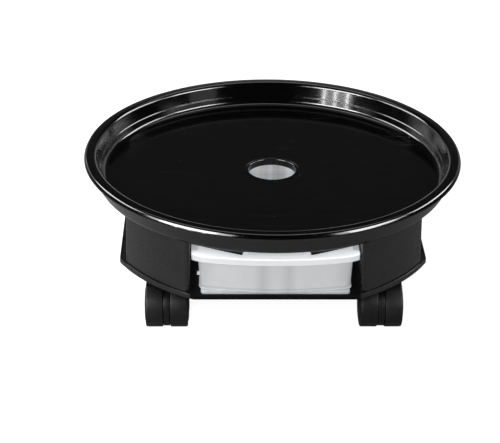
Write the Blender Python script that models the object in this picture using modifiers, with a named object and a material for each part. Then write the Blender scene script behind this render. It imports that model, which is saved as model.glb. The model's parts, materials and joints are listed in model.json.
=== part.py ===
"""Rolling plant pot caddy.

A round saucer with a drain hole sits on a drum-shaped base. A water drawer slides out of the
base towards -Y, and four twin-wheel casters swivel under it. Units are metres, +Z is up, the
ground is z = 0 and the origin lies on the ground under the middle of the saucer.
"""

import math

import bmesh
import bpy
from mathutils import Matrix

# Saucer
TRAY_RADIUS = 0.1700
TRAY_TOP = 0.1255
TRAY_FLOOR = 0.1045
TRAY_SKIN = 0.0022
SHOULDER_RADIUS = 0.1570
WELL_RADIUS = 0.1540
WELL_ROUND = 0.0045
SKIRT_RADIUS = 0.1573
UNDER_LIP_RADIUS = 0.1646
DRAIN_RADIUS = 0.0216
SPOUT_LOW = 0.0986
SPOUT_WALL = 0.0026
RIM_ROUND = 0.0042
RIM_FALL = 0.0004
SKIRT_ROUND = 0.0030
RIM_LIP_LOW = 0.1204
RIM_LIP = 0.0019
RIM_UNDER = 0.1216
FLARE_RADIUS = 0.1554
FLARE_TOP = 0.1124
FLARE_DEPTH = 0.0006
TRAY_STEPS = 48

# Drum: a deck and an overhanging ring on walls that follow a circle cut by four chords
RING_RADIUS = 0.1505
RING_LOW = 0.0976
DECK_TOP = 0.1020
DECK_SKIN = 0.0024
DECK_OPENING = 0.0600
DRUM_RADIUS = 0.1498
DRUM_FLAT = 0.1290
DRUM_LOW = 0.0503
DRUM_DRAFT = 1.008
WALL = 0.0024
NOTCH_HALF = 0.0285
NOTCH_RISE = 0.0030
NOTCH_NEAR = 0.0080
NOTCH_DEPTH = 0.0300

# Drawer bay inside the drum
BAY_HALF = 0.0727
BAY_REAR = 0.1040
RAIL_FRONT = -0.1180
RAIL_REACH = 0.0042
RAIL_LOW = 0.0765
RAIL_HIGH = 0.0793

# Bottom plate
PLATE_RADIUS = 0.1530
PLATE_FLAT = 0.1360
PLATE_LOW = 0.0460
PLATE_FLOOR_LOW = 0.0476
PLATE_TOP = 0.0500
PLATE_LIP_TOP = 0.0507
PLATE_RIM = 0.0014
PLATE_SKIRT = 0.0022
RIB = 0.0018
RIBS_ACROSS = 0.0450
RIBS_ALONG = 0.0300

# Water drawer
DRAWER_HALF_TOP = 0.0660
DRAWER_HALF_LOW = 0.0645
DRAWER_FRONT = -0.1355
DRAWER_REAR = 0.1000
DRAWER_LOW = 0.0503
DRAWER_FOOT = 0.0030
DRAWER_TOP = 0.0855
DRAWER_WALL = 0.0022
BOW_RADIUS = 0.3000
FLANGE_HALF = 0.0715
FLANGE_FRONT = -0.1375
FLANGE_BACK = -0.1202
FLANGE_CORNER = 0.0085
FLANGE_SKIN = 0.0018
SKIRT_DROP = 0.0063
FOOT_FRONT = -0.1340
BODY_CORNER = 0.0110
BODY_REAR_CORNER = 0.0080
WATER_FRONT = -0.1190
WATER_CORNER = 0.0060
GRIP_HALF = 0.0240
GRIP_FRONT = -0.1285
GRIP_LOW = 0.0640
EAR_LOW = 0.0797
EAR_HIGH = 0.0828

# Casters
CASTER_X = 0.0937
CASTER_Y = 0.0835
TRAIL = 0.0145
WHEEL_RADIUS = 0.0200
WHEEL_STEPS = 16
WHEEL_INNER = 0.0032
WHEEL_OUTER = 0.0184
TREAD_EDGE = 0.0168
RIM_INNER = 0.0159
HUB_RADIUS = 0.0062
HUB_OUTER = 0.0154
CAP_RADIUS = 0.0155
CAP_LOW = 0.0162
CAP_CROWN = 0.0197
AXLE_RADIUS = 0.0030
STEM_RADIUS = 0.0040
STEM_TOP = 0.0645
PIVOT_RADIUS = 0.0030
PIVOT_LOW = 0.0376
YOKE_TOP = 0.0444
NECK_RADIUS = 0.0058
NECK_LOW = 0.0355
WEB_HALF = 0.0024
WEB_SHOULDER = 0.0430
HOOD_INNER = 0.0213
HOOD_OUTER = 0.0229
HOOD_HALF = 0.0178
BOSS_RADIUS = 0.0090
BOSS_TOP = 0.0660
PAD_RADIUS = 0.0120
SOCKET_RADIUS = 0.0060
SOCKET_FLANGE = 0.0080
SOCKET_LOW = 0.0448

# Fasteners
TRAY_SCREWS_RIGHT = ((0.0900, -0.1060), (0.0900, 0.1060))
PLATE_SCREWS_RIGHT = ((0.1150, -0.0340), (0.1150, 0.0340), (0.0450, 0.1170))
SHANK_RADIUS = 0.0016
PILOT_RADIUS = 0.0019
POST_RADIUS = 0.0045
STUD_RADIUS = 0.0040
STUD_LOW = 0.0999
TRAY_HEAD_RADIUS = 0.0062
PLATE_HEAD_RADIUS = 0.0042
HEAD_HEIGHT = 0.0020
SCREW_STEPS = 8

GAP = 0.0003
EPS = 0.0010
MIDDLE = ((0.0, 0.0),)

COLOURS = {
    "saucer_plastic": ((0.012, 0.012, 0.013), 0.16, 0.0),
    "base_plastic": ((0.018, 0.018, 0.019), 0.30, 0.0),
    "drawer_plastic": ((0.78, 0.79, 0.80), 0.35, 0.0),
    "caster_plastic": ((0.030, 0.030, 0.032), 0.45, 0.0),
    "wheel_plastic": ((0.035, 0.035, 0.037), 0.50, 0.0),
    "steel": ((0.56, 0.57, 0.58), 0.30, 1.0),
}


def clear_scene():
    for obj in list(bpy.data.objects):
        bpy.data.objects.remove(obj, do_unlink=True)


def collection(name):
    made = bpy.data.collections.new(name)
    bpy.context.scene.collection.children.link(made)
    return made


def material(slot):
    colour, roughness, metallic = COLOURS[slot]
    made = bpy.data.materials.new(slot)
    made.use_nodes = True
    shader = made.node_tree.nodes["Principled BSDF"]
    shader.inputs["Base Color"].default_value = (*colour, 1.0)
    shader.inputs["Roughness"].default_value = roughness
    shader.inputs["Metallic"].default_value = metallic
    return made


def add_object(name, mesh, slot=None):
    """A part when a material slot is given, otherwise a hidden cutter."""
    obj = bpy.data.objects.new(name, mesh)
    if slot:
        parts.objects.link(obj)
        mesh.materials.append(materials[slot])
    else:
        cutters.objects.link(obj)
        obj.hide_render = True
        obj.display_type = "WIRE"
    return obj


def arc(centre_x, centre_y, radius, start, end, count):
    """Points on an arc, angles in degrees."""
    angles = [math.radians(start + (end - start) * i / count) for i in range(count + 1)]
    return [(centre_x + radius * math.cos(a), centre_y + radius * math.sin(a)) for a in angles]


def turned(name, profile, steps, slot=None, closed=True):
    """A turned solid: the profile is (radius, height) and runs down its outer side."""
    mesh = bpy.data.meshes.new(name)
    count = len(profile)
    edges = [(i, i + 1) for i in range(count - 1)]
    if closed:
        edges.append((count - 1, 0))
    mesh.from_pydata([(r, 0.0, z) for r, z in profile], edges, [])
    obj = add_object(name, mesh, slot)
    screw = obj.modifiers.new("Turn", "SCREW")
    screw.angle = math.tau
    screw.steps = steps
    screw.render_steps = steps
    screw.use_merge_vertices = True
    screw.merge_threshold = 0.00001
    return obj


def prism(name, points, low, high, slot=None):
    """A flat outline in XY, extruded between two heights."""
    curve = bpy.data.curves.new(name, "CURVE")
    curve.dimensions = "2D"
    curve.fill_mode = "BOTH"
    curve.extrude = (high - low) / 2
    spline = curve.splines.new("POLY")
    spline.points.add(len(points) - 1)
    for point, (x, y) in zip(spline.points, points):
        point.co = (x, y, 0.0, 1.0)
    spline.use_cyclic_u = True
    guide = bpy.data.objects.new(name, curve)
    cutters.objects.link(guide)
    graph = bpy.context.evaluated_depsgraph_get()
    mesh = bpy.data.meshes.new_from_object(guide.evaluated_get(graph))
    bpy.data.objects.remove(guide, do_unlink=True)
    mesh.materials.clear()
    shape = bmesh.new()
    shape.from_mesh(mesh)
    bmesh.ops.remove_doubles(shape, verts=shape.verts, dist=0.00001)
    bmesh.ops.translate(shape, verts=shape.verts, vec=(0.0, 0.0, (low + high) / 2))
    shape.to_mesh(mesh)
    shape.free()
    return add_object(name, mesh, slot)


def box(name, low, high, slot=None):
    mesh = bpy.data.meshes.new(name)
    shape = bmesh.new()
    bmesh.ops.create_cube(shape, size=1.0)
    size = [b - a for a, b in zip(low, high)]
    middle = [(a + b) / 2 for a, b in zip(low, high)]
    bmesh.ops.scale(shape, verts=shape.verts, vec=size)
    bmesh.ops.translate(shape, verts=shape.verts, vec=middle)
    shape.to_mesh(mesh)
    shape.free()
    return add_object(name, mesh, slot)


def pins(name, radius, low, high, centres, slot=None, sides=12):
    """Upright cylinders of one size, one at each centre."""
    mesh = bpy.data.meshes.new(name)
    shape = bmesh.new()
    for x, y in centres:
        made = bmesh.ops.create_cone(
            shape, cap_ends=True, segments=sides, radius1=radius, radius2=radius, depth=high - low
        )
        bmesh.ops.translate(shape, verts=made["verts"], vec=(x, y, (low + high) / 2))
    shape.to_mesh(mesh)
    shape.free()
    return add_object(name, mesh, slot)


def combine(target, other, operation):
    step = target.modifiers.new(other.name, "BOOLEAN")
    step.operation = operation
    step.solver = "EXACT"
    step.object = other


def join(target, *others):
    for other in others:
        combine(target, other, "UNION")


def cut(target, *others):
    for other in others:
        combine(target, other, "DIFFERENCE")


def smooth(obj, angle=35):
    """Shades the finished surface smooth, with its corners kept sharp."""
    obj.data.shade_smooth()
    obj.data.set_sharp_from_angle(angle=math.radians(angle))


def chorded_circle(radius, flat, count=5):
    """A circle whose front, back and sides are cut off by chords at the distance flat."""
    half = math.degrees(math.acos(flat / radius))
    points = []
    for quarter in range(4):
        start = quarter * 90 + half
        points += arc(0.0, 0.0, radius, start, start + 90 - 2 * half, count)
    return points


def taper(obj, below, factor):
    """Spreads the points of a mesh that lie below a height."""
    for point in obj.data.vertices:
        if point.co.z < below:
            point.co.x *= factor
            point.co.y *= factor


def both_sides(centres):
    return tuple((side * x, y) for side in (-1, 1) for x, y in centres)


def upright(mesh, y):
    """Stands an XY outline up, so that it faces -Y; its own height 0 comes to the distance y."""
    mesh.transform(Matrix.Translation((0.0, y, 0.0)) @ Matrix.Rotation(math.radians(90), 4, "X"))


def sideways(mesh):
    """Turns an outline drawn in (y, z) to face along X."""
    mesh.transform(Matrix(((0, 0, 1, 0), (1, 0, 0, 0), (0, 1, 0, 0), (0, 0, 0, 1))))


def make_tray():
    floor_low = TRAY_FLOOR - TRAY_SKIN
    spout = DRAIN_RADIUS + SPOUT_WALL
    beads = SKIRT_ROUND / 2
    shoulder = SHOULDER_RADIUS + RIM_ROUND
    profile = arc(TRAY_RADIUS - RIM_ROUND, TRAY_TOP - RIM_ROUND - RIM_FALL, RIM_ROUND, 84, 0, 3)
    profile += [(TRAY_RADIUS, RIM_LIP_LOW), (TRAY_RADIUS - RIM_LIP, RIM_LIP_LOW)]
    profile += [(TRAY_RADIUS - RIM_LIP, RIM_UNDER), (UNDER_LIP_RADIUS, RIM_UNDER)]
    profile += arc(SKIRT_RADIUS, floor_low + SKIRT_ROUND, SKIRT_ROUND, -10, -90, 3)
    profile += [(spout, floor_low), (spout - FLARE_DEPTH, SPOUT_LOW), (DRAIN_RADIUS, SPOUT_LOW)]
    profile += arc(DRAIN_RADIUS + beads, TRAY_FLOOR, beads, 180, 0, 3)
    profile += arc(WELL_RADIUS - WELL_ROUND, TRAY_FLOOR + WELL_ROUND, WELL_ROUND, -90, -12, 2)
    profile += [(FLARE_RADIUS - FLARE_DEPTH, FLARE_TOP - FLARE_DEPTH), (FLARE_RADIUS, FLARE_TOP)]
    profile += arc(shoulder, TRAY_TOP - RIM_ROUND, RIM_ROUND, 168, 90, 3)
    tray = turned("saucer_tray", profile, TRAY_STEPS, "saucer_plastic")
    centres = both_sides(TRAY_SCREWS_RIGHT)
    studs = pins("tray_studs", STUD_RADIUS, STUD_LOW, TRAY_FLOOR - EPS, centres)
    pilots = pins("tray_pilots", PILOT_RADIUS, STUD_LOW - EPS, TRAY_FLOOR - EPS, centres)
    join(tray, studs)
    cut(tray, pilots)
    return [tray]


def make_drum():
    deck_low = DECK_TOP - DECK_SKIN
    wall_top = deck_low + EPS
    drum = pins("base_drum", RING_RADIUS, RING_LOW, DECK_TOP, MIDDLE, "base_plastic", TRAY_STEPS)
    ring_inside = RING_RADIUS - WALL
    underside = pins("ring_underside", ring_inside, RING_LOW - EPS, deck_low, MIDDLE, sides=TRAY_STEPS)
    walls = prism("drum_walls", chorded_circle(DRUM_RADIUS, DRUM_FLAT), DRUM_LOW, wall_top)
    taper(walls, DRUM_LOW + EPS, DRUM_DRAFT)
    inside = chorded_circle(DRUM_RADIUS - WALL, DRUM_FLAT - WALL)
    hollow = prism("drum_hollow", inside, DRUM_LOW - EPS, wall_top + EPS)
    taper(hollow, DRUM_LOW, DRUM_DRAFT)
    cut(walls, hollow)
    outer = BAY_HALF + WALL
    front = -DRUM_FLAT + WALL / 2
    back_low = (-outer, BAY_REAR - WALL / 2, DRUM_LOW)
    fittings = [box("bay_back", back_low, (outer, BAY_REAR + WALL, wall_top))]
    for side, word in ((-1, "left"), (1, "right")):
        wall = sorted((side * BAY_HALF, side * outer))
        rail = sorted((side * (BAY_HALF - RAIL_REACH), side * (BAY_HALF + WALL / 2)))
        fittings.append(box("bay_" + word, (wall[0], front, DRUM_LOW), (wall[1], BAY_REAR, wall_top)))
        fittings.append(box("rail_" + word, (rail[0], RAIL_FRONT, RAIL_LOW), (rail[1], BAY_REAR, RAIL_HIGH)))
    fittings.append(pins("drum_posts", POST_RADIUS, DRUM_LOW, wall_top, both_sides(PLATE_SCREWS_RIGHT)))
    opening = pins("deck_opening", DECK_OPENING, RING_LOW, DECK_TOP + EPS, MIDDLE, sides=48)
    window_low = (-BAY_HALF, -DRUM_FLAT - 2 * WALL, DRUM_LOW - EPS)
    window = box("window", window_low, (BAY_HALF, -DRUM_FLAT + 4 * WALL, RING_LOW))
    top = RING_LOW + NOTCH_RISE
    low = RING_LOW - GAP
    notch_top = NOTCH_HALF - NOTCH_RISE
    notch_points = [(-NOTCH_HALF, low), (NOTCH_HALF, low), (notch_top, top), (-notch_top, top)]
    notch = prism("notch", notch_points, NOTCH_NEAR, NOTCH_DEPTH)
    upright(notch.data, -DRUM_FLAT)
    stud_gap = STUD_RADIUS + 2 * GAP
    stud_holes = pins("stud_holes", stud_gap, deck_low - EPS, DECK_TOP + EPS, both_sides(TRAY_SCREWS_RIGHT))
    posts = both_sides(PLATE_SCREWS_RIGHT)
    pilots = pins("post_pilots", PILOT_RADIUS, DRUM_LOW - EPS, BOSS_TOP, posts)
    cut(drum, underside)
    join(drum, walls, *fittings)
    cut(drum, opening, window, notch, stud_holes, pilots)
    return [drum]


def caster_centres():
    return [(side * CASTER_X, end * CASTER_Y) for end in (-1, 1) for side in (-1, 1)]


def make_plate():
    outline = chorded_circle(PLATE_RADIUS, PLATE_FLAT)
    plate = prism("base_plate", outline, PLATE_LOW, PLATE_LIP_TOP, "base_plastic")
    within_lip = chorded_circle(PLATE_RADIUS - PLATE_RIM, PLATE_FLAT - PLATE_RIM)
    within_skirt = chorded_circle(PLATE_RADIUS - PLATE_SKIRT, PLATE_FLAT - PLATE_SKIRT)
    above = prism("above_floor", within_lip, PLATE_TOP, PLATE_LIP_TOP + EPS)
    below = prism("below_floor", within_skirt, PLATE_LOW - EPS, PLATE_FLOOR_LOW)
    middle = (PLATE_TOP + PLATE_FLOOR_LOW) / 2
    pads = pins("caster_pads", PAD_RADIUS, PLATE_LOW, middle, caster_centres(), sides=16)
    bosses = pins("caster_bosses", BOSS_RADIUS, middle - GAP, BOSS_TOP, caster_centres(), sides=16)
    ribs = []
    edge = PLATE_SKIRT / 2
    for offset in (-CASTER_Y, -RIBS_ACROSS, RIBS_ACROSS, CASTER_Y):
        reach = min(PLATE_FLAT, math.sqrt(PLATE_RADIUS**2 - (abs(offset) + RIB) ** 2)) - edge
        low = (-reach, offset - RIB / 2, PLATE_LOW + GAP)
        ribs.append(box("rib_across", low, (reach, offset + RIB / 2, middle)))
    for offset in (-CASTER_X, -RIBS_ALONG, RIBS_ALONG, CASTER_X):
        reach = min(PLATE_FLAT, math.sqrt(PLATE_RADIUS**2 - (abs(offset) + RIB) ** 2)) - edge
        low = (offset - RIB / 2, -reach, PLATE_LOW + 2 * GAP)
        ribs.append(box("rib_along", low, (offset + RIB / 2, reach, middle - GAP)))
    bore = SOCKET_RADIUS + GAP
    bores = pins("caster_bores", bore, PLATE_LOW - EPS, BOSS_TOP + EPS, caster_centres(), sides=16)
    clear = SHANK_RADIUS + 2 * GAP
    holes = pins("plate_holes", clear, PLATE_LOW, PLATE_TOP + EPS, both_sides(PLATE_SCREWS_RIGHT))
    way_low = (-BAY_HALF, -PLATE_FLAT - EPS, PLATE_TOP)
    drawer_way = box("drawer_way", way_low, (BAY_HALF, -PLATE_FLAT + PLATE_SKIRT, PLATE_LIP_TOP + EPS))
    cut(plate, above, below, drawer_way)
    join(plate, pads, bosses, *ribs)
    cut(plate, bores, holes)
    return [plate]


def bow(x, front):
    """The bowed front's distance along Y at a distance x from the middle."""
    return front + BOW_RADIUS - math.sqrt(BOW_RADIUS**2 - x**2)


def bowed_outline(half, front, rear, corner, rear_corner):
    """A drawer outline: bowed front, straight sides and rounded corners."""
    flat = half - corner
    turn = bow(flat, front) + corner
    points = [(x, bow(x, front)) for x in across(flat)]
    points += arc(half - corner, turn, corner, -67, 0, 3)
    points += arc(half - rear_corner, rear - rear_corner, rear_corner, 0, 90, 3)
    points += arc(-half + rear_corner, rear - rear_corner, rear_corner, 90, 180, 3)
    points += arc(-half + corner, turn, corner, 180, 247, 3)
    return points


def across(half, count=8):
    return [half * (2 * i / count - 1) for i in range(count + 1)]


def flange_outline(inset):
    """The front rim: bowed, with cut corners and a straight back."""
    half = FLANGE_HALF - inset
    front = FLANGE_FRONT + inset
    flat = half - FLANGE_CORNER
    points = [(x, bow(x, front)) for x in across(flat)]
    side_front = bow(flat, front) + FLANGE_CORNER * 0.55
    return points + [(half, side_front), (half, FLANGE_BACK), (-half, FLANGE_BACK), (-half, side_front)]


def panel_hollow():
    """The space behind the front panel, open below and interrupted by the finger grip."""
    wall = DRAWER_WALL
    flat = DRAWER_HALF_LOW - BODY_CORNER
    turn = bow(flat, DRAWER_FRONT + wall)
    points = [(-flat, turn), (-flat / 2, FOOT_FRONT + wall), (flat / 2, FOOT_FRONT + wall)]
    points += [(flat, turn), (flat, WATER_FRONT - wall), (-flat, WATER_FRONT - wall)]
    hollow = prism("panel_hollow", points, DRAWER_LOW - EPS, DRAWER_TOP - FLANGE_SKIN - GAP)
    grip_low = (-GRIP_HALF - wall, GRIP_FRONT - wall, GRIP_LOW - wall)
    kept = box("grip_walls", grip_low, (GRIP_HALF + wall, WATER_FRONT + EPS, DRAWER_TOP))
    cut(hollow, kept)
    return hollow


def make_drawer():
    wall = DRAWER_WALL
    body_low = DRAWER_LOW + DRAWER_FOOT - GAP
    skirt_low = DRAWER_TOP - SKIRT_DROP
    drawer = prism("water_drawer", flange_outline(0.0), skirt_low, DRAWER_TOP, "drawer_plastic")
    skirt_inside = flange_outline(FLANGE_SKIN)
    pocket = prism("flange_pocket", skirt_inside, skirt_low - EPS, DRAWER_TOP - FLANGE_SKIN)
    outline = bowed_outline(
        DRAWER_HALF_TOP, DRAWER_FRONT, DRAWER_REAR, BODY_CORNER, BODY_REAR_CORNER
    )
    shell = prism("drawer_shell", outline, body_low, DRAWER_TOP - GAP)
    draft = DRAWER_HALF_LOW / DRAWER_HALF_TOP
    narrow(shell, body_low + EPS, draft)
    foot_half = DRAWER_HALF_LOW - EPS
    foot_rear = DRAWER_REAR - DRAWER_FOOT
    foot_top = DRAWER_LOW + DRAWER_FOOT
    foot = box("drawer_foot", (-foot_half, FOOT_FRONT, DRAWER_LOW), (foot_half, foot_rear, foot_top))
    runners = []
    for side, word in ((-1, "left"), (1, "right")):
        span = sorted((side * (DRAWER_HALF_TOP - EPS), side * (FLANGE_HALF + GAP)))
        low = (span[0], FLANGE_BACK - EPS, EAR_LOW)
        runners.append(box("runner_" + word, low, (span[1], foot_rear - EPS, EAR_HIGH)))
    inside_points = bowed_outline(
        DRAWER_HALF_TOP - wall, WATER_FRONT, DRAWER_REAR - wall, WATER_CORNER, WATER_CORNER
    )
    inside = prism("drawer_inside", inside_points, DRAWER_LOW + wall, DRAWER_TOP + EPS)
    narrow(inside, body_low, draft)
    grip_back = WATER_FRONT - wall - GAP
    grip = box("finger_grip", (-GRIP_HALF, GRIP_FRONT, GRIP_LOW), (GRIP_HALF, grip_back, DRAWER_TOP + EPS))
    cut(drawer, pocket)
    join(drawer, shell, foot, *runners)
    cut(drawer, inside, panel_hollow(), grip)
    return [drawer]


def narrow(obj, below, factor):
    """Draws in the sides of a mesh that lie below a height."""
    for point in obj.data.vertices:
        if point.co.z < below:
            point.co.x *= factor


def screw_profile(head_low, head_radius, tip):
    head_top = head_low + HEAD_HEIGHT
    return [
        (0.0, tip),
        (SHANK_RADIUS * 0.6, tip),
        (SHANK_RADIUS, tip - EPS),
        (SHANK_RADIUS, head_top),
        (head_radius, head_top),
        (head_radius, head_low + 0.0008),
        (head_radius * 0.7, head_low),
        (0.0, head_low),
    ]


def make_screws():
    """Tray screws hang under the deck and plate screws go up into the drum's posts."""
    tray_head_low = DECK_TOP - DECK_SKIN - GAP - HEAD_HEIGHT
    tray_profile = screw_profile(tray_head_low, TRAY_HEAD_RADIUS, TRAY_FLOOR - 0.0012)
    plate_head_low = PLATE_FLOOR_LOW - GAP - HEAD_HEIGHT
    plate_profile = screw_profile(plate_head_low, PLATE_HEAD_RADIUS, BOSS_TOP - 0.0020)
    made = []
    for word, profile, centres in (
        ("tray_screw", tray_profile, both_sides(TRAY_SCREWS_RIGHT)),
        ("plate_screw", plate_profile, both_sides(PLATE_SCREWS_RIGHT)),
    ):
        for number, (x, y) in enumerate(centres, 1):
            screw = turned(f"{word}_{number}", profile, SCREW_STEPS, "steel", closed=False)
            screw.location = (x, y, 0.0)
            made.append(screw)
    return made


def make_yoke(name):
    """The swivelling body: a neck, a web between the wheels and a hood behind them."""
    axle = (-TRAIL, WHEEL_RADIUS)
    middle = (HOOD_INNER + HOOD_OUTER) / 2
    yoke = pins(name, NECK_RADIUS, NECK_LOW, YOKE_TOP, MIDDLE, "caster_plastic", 16)
    web_points = arc(*axle, middle, 46, -10, 4)
    web_points += arc(*axle, 0.0120, -45, -110, 2)
    web_points += arc(*axle, 0.0172, -150, -232, 4)
    web_points += [(-2 * NECK_RADIUS, HOOD_OUTER + TRAIL + EPS), (-NECK_RADIUS * 0.8, WEB_SHOULDER)]
    web_points += [(0.0, WEB_SHOULDER)]
    web_plate = prism("yoke_web", web_points, -WEB_HALF, WEB_HALF)
    sideways(web_plate.data)
    hood_points = arc(*axle, HOOD_OUTER, -12, 98, 7) + arc(*axle, HOOD_INNER, 98, -12, 7)
    hood = prism("yoke_hood", hood_points, -HOOD_HALF, HOOD_HALF)
    sideways(hood.data)
    pivot = PIVOT_RADIUS + GAP
    web = WEB_HALF + EPS
    neck = NECK_RADIUS + EPS
    pivot_bore = pins("pivot_bore", pivot, PIVOT_LOW - GAP, YOKE_TOP + EPS, MIDDLE, sides=16)
    axle_bore = pins("axle_bore", AXLE_RADIUS + GAP, -web, web, MIDDLE, sides=16)
    wheel_room = pins("wheel_room", HOOD_INNER - GAP, -neck, neck, MIDDLE, sides=32)
    for across in (axle_bore, wheel_room):
        across.data.transform(Matrix.Rotation(math.radians(90), 4, "Y"))
        across.data.transform(Matrix.Translation((0.0, *axle)))
    cut(yoke, wheel_room)
    join(yoke, web_plate, hood)
    cut(yoke, pivot_bore, axle_bore)
    return yoke


def wheel_profile():
    """One wheel, turned about its axle; height runs outwards from the middle of the caster."""
    tread = WHEEL_RADIUS / math.cos(math.pi / WHEEL_STEPS)
    bore = AXLE_RADIUS + GAP
    web = WHEEL_INNER + 0.0028
    return [
        (RIM_INNER + 0.0006, WHEEL_OUTER),
        (tread - 0.0010, WHEEL_OUTER - 0.0010),
        (tread, TREAD_EDGE),
        (tread, WHEEL_INNER + 0.0008),
        (tread - 0.0008, WHEEL_INNER),
        (bore, WHEEL_INNER),
        (bore, HUB_OUTER),
        (HUB_RADIUS, HUB_OUTER),
        (HUB_RADIUS, web),
        (RIM_INNER, web),
        (RIM_INNER, WHEEL_OUTER),
    ]


def cap_profile():
    return [
        (0.0, CAP_CROWN),
        (0.0075, CAP_CROWN - 0.0003),
        (CAP_RADIUS - 0.0008, WHEEL_OUTER + 0.0002),
        (CAP_RADIUS, WHEEL_OUTER - 0.0006),
        (CAP_RADIUS, CAP_LOW),
        (0.0, CAP_LOW),
    ]


def make_caster(name, x, y):
    socket_profile = [
        (SOCKET_RADIUS, BOSS_TOP - GAP),
        (SOCKET_RADIUS, PLATE_LOW - GAP),
        (SOCKET_FLANGE, PLATE_LOW - GAP),
        (SOCKET_FLANGE, SOCKET_LOW),
        (STEM_RADIUS + GAP, SOCKET_LOW),
        (STEM_RADIUS + GAP, BOSS_TOP - GAP),
    ]
    stem_profile = [
        (0.0, STEM_TOP),
        (STEM_RADIUS - 0.0010, STEM_TOP),
        (STEM_RADIUS, STEM_TOP - 0.0010),
        (STEM_RADIUS, SOCKET_LOW),
        (PIVOT_RADIUS, SOCKET_LOW),
        (PIVOT_RADIUS, PIVOT_LOW),
        (0.0, PIVOT_LOW),
    ]
    socket = turned(name + "_socket", socket_profile, 16, "caster_plastic")
    stem = turned(name + "_stem", stem_profile, 12, "steel", closed=False)
    for fixed in (socket, stem):
        fixed.location = (x, y, 0.0)
    swivel = bpy.data.objects.new(name + "_swivel", None)
    parts.objects.link(swivel)
    swivel.location = (x, y, 0.0)
    yoke = make_yoke(name + "_yoke")
    bpy.context.view_layer.update()
    graph = bpy.context.evaluated_depsgraph_get()
    yoke_mesh = bpy.data.meshes.new_from_object(yoke.evaluated_get(graph))
    yoke.modifiers.clear()
    yoke.data = yoke_mesh
    axle = pins(name + "_axle", AXLE_RADIUS, -HUB_OUTER, HUB_OUTER, MIDDLE, "steel", 16)
    axle_place = (0.0, -TRAIL, WHEEL_RADIUS)
    axle.location = axle_place
    axle.rotation_euler = (0.0, math.radians(90), 0.0)
    turning = [yoke, axle]
    for side, word in ((-1, "left"), (1, "right")):
        outward = Matrix.Rotation(side * math.radians(90), 4, "Y")
        half_step = Matrix.Rotation(math.pi / WHEEL_STEPS, 4, "Z")
        wheel = turned(name + "_wheel_" + word, wheel_profile(), WHEEL_STEPS, "wheel_plastic")
        cap = turned(name + "_cap_" + word, cap_profile(), WHEEL_STEPS, "wheel_plastic", closed=False)
        for piece in (wheel, cap):
            piece.location = axle_place
            piece.rotation_euler = (outward @ half_step).to_euler()
            turning.append(piece)
    for piece in turning:
        piece.parent = swivel
    return [socket, stem, *turning]


def make_casters():
    made = []
    names = ("front_left", "front_right", "rear_left", "rear_right")
    for name, (x, y) in zip(names, caster_centres()):
        made += make_caster(name, x, y)
    return made


clear_scene()
parts = collection("plant_pot_caddy")
cutters = collection("cutters")
materials = {slot: material(slot) for slot in COLOURS}
for make in (make_tray, make_drum, make_plate, make_drawer, make_screws, make_casters):
    for piece in make():
        smooth(piece)
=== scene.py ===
"""Looks of the rolling plant pot caddy: glossy black saucer, satin base, milky water drawer, casters."""

import json
import math

import bmesh
import bpy
from mathutils import Matrix, Vector


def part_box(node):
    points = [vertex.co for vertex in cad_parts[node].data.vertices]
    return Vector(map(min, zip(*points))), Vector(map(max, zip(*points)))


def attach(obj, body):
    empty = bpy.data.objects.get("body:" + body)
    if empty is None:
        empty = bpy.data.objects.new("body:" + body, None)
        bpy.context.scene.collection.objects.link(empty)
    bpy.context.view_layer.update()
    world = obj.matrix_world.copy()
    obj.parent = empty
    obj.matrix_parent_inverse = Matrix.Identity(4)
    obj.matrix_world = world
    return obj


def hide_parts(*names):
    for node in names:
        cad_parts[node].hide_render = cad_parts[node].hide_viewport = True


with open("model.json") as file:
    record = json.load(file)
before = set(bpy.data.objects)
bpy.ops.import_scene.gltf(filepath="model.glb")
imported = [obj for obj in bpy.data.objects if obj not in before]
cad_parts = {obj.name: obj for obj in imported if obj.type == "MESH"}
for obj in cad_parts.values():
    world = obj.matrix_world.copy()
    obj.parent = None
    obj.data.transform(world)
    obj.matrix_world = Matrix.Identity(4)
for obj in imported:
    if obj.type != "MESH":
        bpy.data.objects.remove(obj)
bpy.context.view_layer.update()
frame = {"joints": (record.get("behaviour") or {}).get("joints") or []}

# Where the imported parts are
TRAY_LOW, TRAY_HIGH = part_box("saucer_tray")
DRUM_BOX_LOW, DRUM_BOX_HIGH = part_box("base_drum")
PLATE_BOX_LOW, PLATE_BOX_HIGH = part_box("base_plate")
DRAWER_BOX_LOW, DRAWER_BOX_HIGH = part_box("water_drawer")
CASTERS = ("front_left", "front_right", "rear_left", "rear_right")
JOINTS = {joint["name"]: joint for joint in frame["joints"]}

TINY = 0.00002
SHARP_ANGLE = math.radians(32)


# ---------------------------------------------------------------- outlines

def arc(x, y, radius, start, end, count):
    """Points on an arc, angles in degrees."""
    angles = [math.radians(start + (end - start) * i / count) for i in range(count + 1)]
    return [(x + radius * math.cos(a), y + radius * math.sin(a)) for a in angles]


def rounded(corners, steps=6):
    """A closed outline from (x, y, corner radius) triples."""
    points = []
    count = len(corners)
    for i, (x, y, radius) in enumerate(corners):
        here = Vector((x, y))
        back = Vector(corners[i - 1][:2]) - here
        ahead = Vector(corners[(i + 1) % count][:2]) - here
        room = 0.49 * min(back.length, ahead.length)
        back.normalize()
        ahead.normalize()
        angle = back.angle(ahead)
        if radius <= 0 or angle > math.radians(179):
            points.append((x, y))
            continue
        reach = min(radius / math.tan(angle / 2), room)
        radius = reach * math.tan(angle / 2)
        centre = here + (back + ahead).normalized() * radius / math.sin(angle / 2)
        spoke = here + back * reach - centre
        sweep = math.pi - angle
        if back.x * ahead.y - back.y * ahead.x > 0:
            sweep = -sweep
        parts = max(2, math.ceil(abs(sweep) / (math.pi / 2) * steps))
        for k in range(parts + 1):
            turned = Matrix.Rotation(sweep * k / parts, 2) @ spoke
            points.append(tuple(centre + turned))
    return points


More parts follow.
